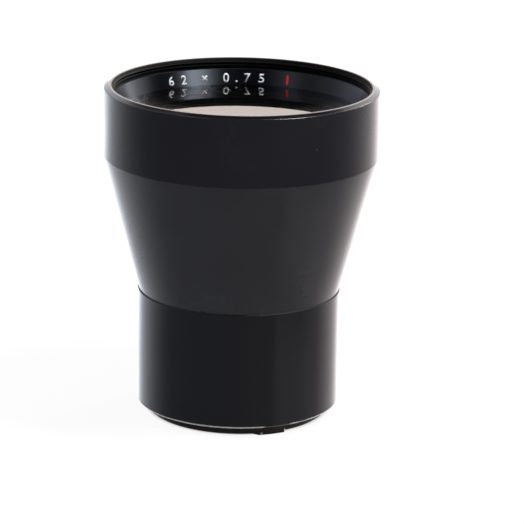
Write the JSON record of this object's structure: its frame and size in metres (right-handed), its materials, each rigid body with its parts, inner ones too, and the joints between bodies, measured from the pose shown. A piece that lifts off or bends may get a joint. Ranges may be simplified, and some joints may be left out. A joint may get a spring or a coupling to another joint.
{
  "type": "camera teleconverter",
  "caption": "Front-mounted camera teleconverter: a black metal barrel tapering from a threaded front ring to a bayonet spigot, with a positive front lens group and a negative rear one.",
  "frame": {"origin": "centre of the spigot's end face, which the part stands on", "axes": "+Z along the optical axis towards the front glass; -Y is the side that the picture shows"},
  "size_m": [0.066, 0.066, 0.0805],
  "materials": {
    "anodised_barrel": "satin to gloss black anodising",
    "name_ring_black": "satin black anodising, engraved and filled",
    "mount_black": "gloss black anodising",
    "inner_black": "matt black against stray light",
    "shim_brass": "rolled sheet",
    "flint_glass": "polished and coated",
    "crown_glass": "polished and coated",
    "screw_steel": "turned steel"
  },
  "bodies": {
    "root": {"front_ring": "anodised_barrel", "cone_barrel": "anodised_barrel", "rear_barrel": "anodised_barrel", "name_ring": "name_ring_black", "bayonet_mount": "mount_black", "meniscus_cell": "inner_black", "meniscus_retainer": "inner_black", "front_baffle": "inner_black", "middle_baffle": "inner_black", "rear_baffle": "inner_black", "rear_cell": "inner_black", "rear_lock_ring": "inner_black", "rear_retainer": "inner_black", "cell_shim": "shim_brass", "rear_cell_shim": "shim_brass", "front_flint_lens": "flint_glass", "rear_flint_lens": "flint_glass", "front_crown_lens": "crown_glass", "meniscus_lens": "crown_glass", "rear_biconcave_lens": "crown_glass", "mount_screws": "screw_steel"}
  },
  "joints": []
}
